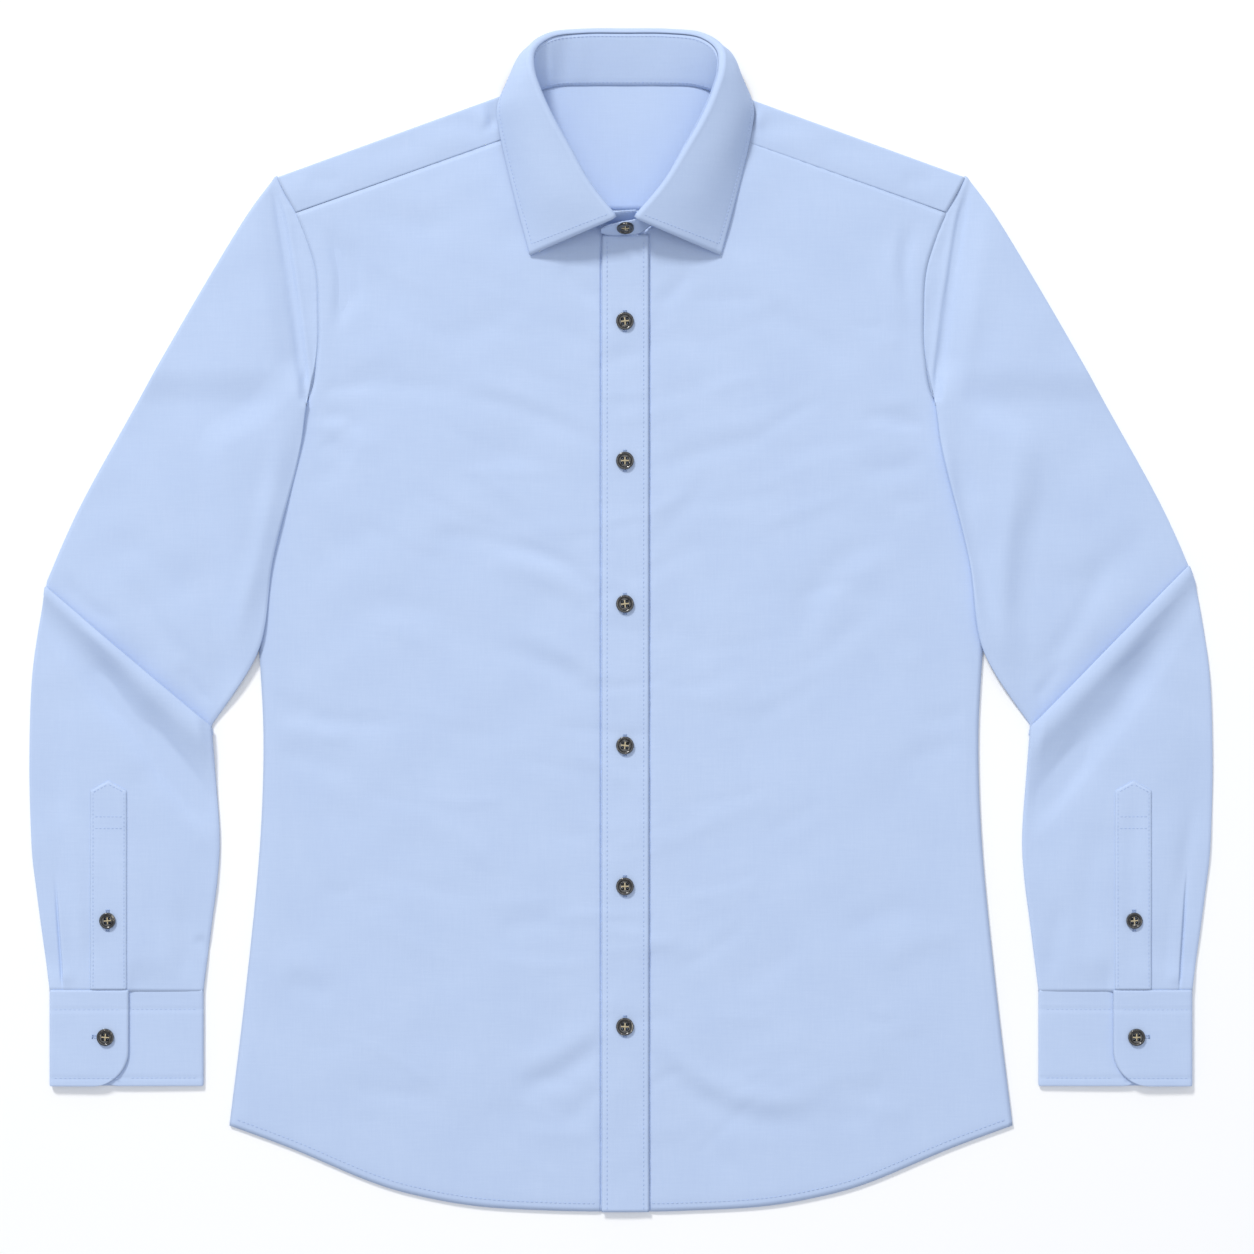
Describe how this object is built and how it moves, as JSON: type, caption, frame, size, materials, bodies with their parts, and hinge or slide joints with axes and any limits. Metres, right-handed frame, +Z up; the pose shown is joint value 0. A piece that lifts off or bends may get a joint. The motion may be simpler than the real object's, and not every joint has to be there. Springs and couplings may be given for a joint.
{
  "type": "long sleeve dress shirt",
  "caption": "Long sleeve dress shirt laid flat and buttoned, with a turned-down collar, front placket, barrel cuffs and a curved hem.",
  "frame": {"origin": "on the surface it lies on, below the middle of its outline", "axes": "+Z up from that surface, out of the shirt's front; +Y from the hem to the collar; +X to the right as seen from above"},
  "size_m": [0.804, 0.8029, 0.0301],
  "materials": {
    "shirt_cloth": "pale blue cotton poplin, matt with a faint sheen",
    "button": "smoky horn-effect resin, polished"
  },
  "bodies": {
    "root": {"back": "shirt_cloth", "yoke": "shirt_cloth", "front_left": "shirt_cloth", "front_right": "shirt_cloth", "front_placket": "shirt_cloth", "collar_stand": "shirt_cloth", "collar_leaf": "shirt_cloth", "sleeve_left": "shirt_cloth", "sleeve_placket_left": "shirt_cloth", "cuff_left": "shirt_cloth", "sleeve_right": "shirt_cloth", "sleeve_placket_right": "shirt_cloth", "cuff_right": "shirt_cloth", "button_placket_left": "button", "button_cuff_left": "button", "button_placket_right": "button", "button_cuff_right": "button", "button_front_1": "button", "button_front_2": "button", "button_front_3": "button", "button_front_4": "button", "button_front_5": "button", "button_front_6": "button", "button_neck": "button"}
  },
  "joints": []
}
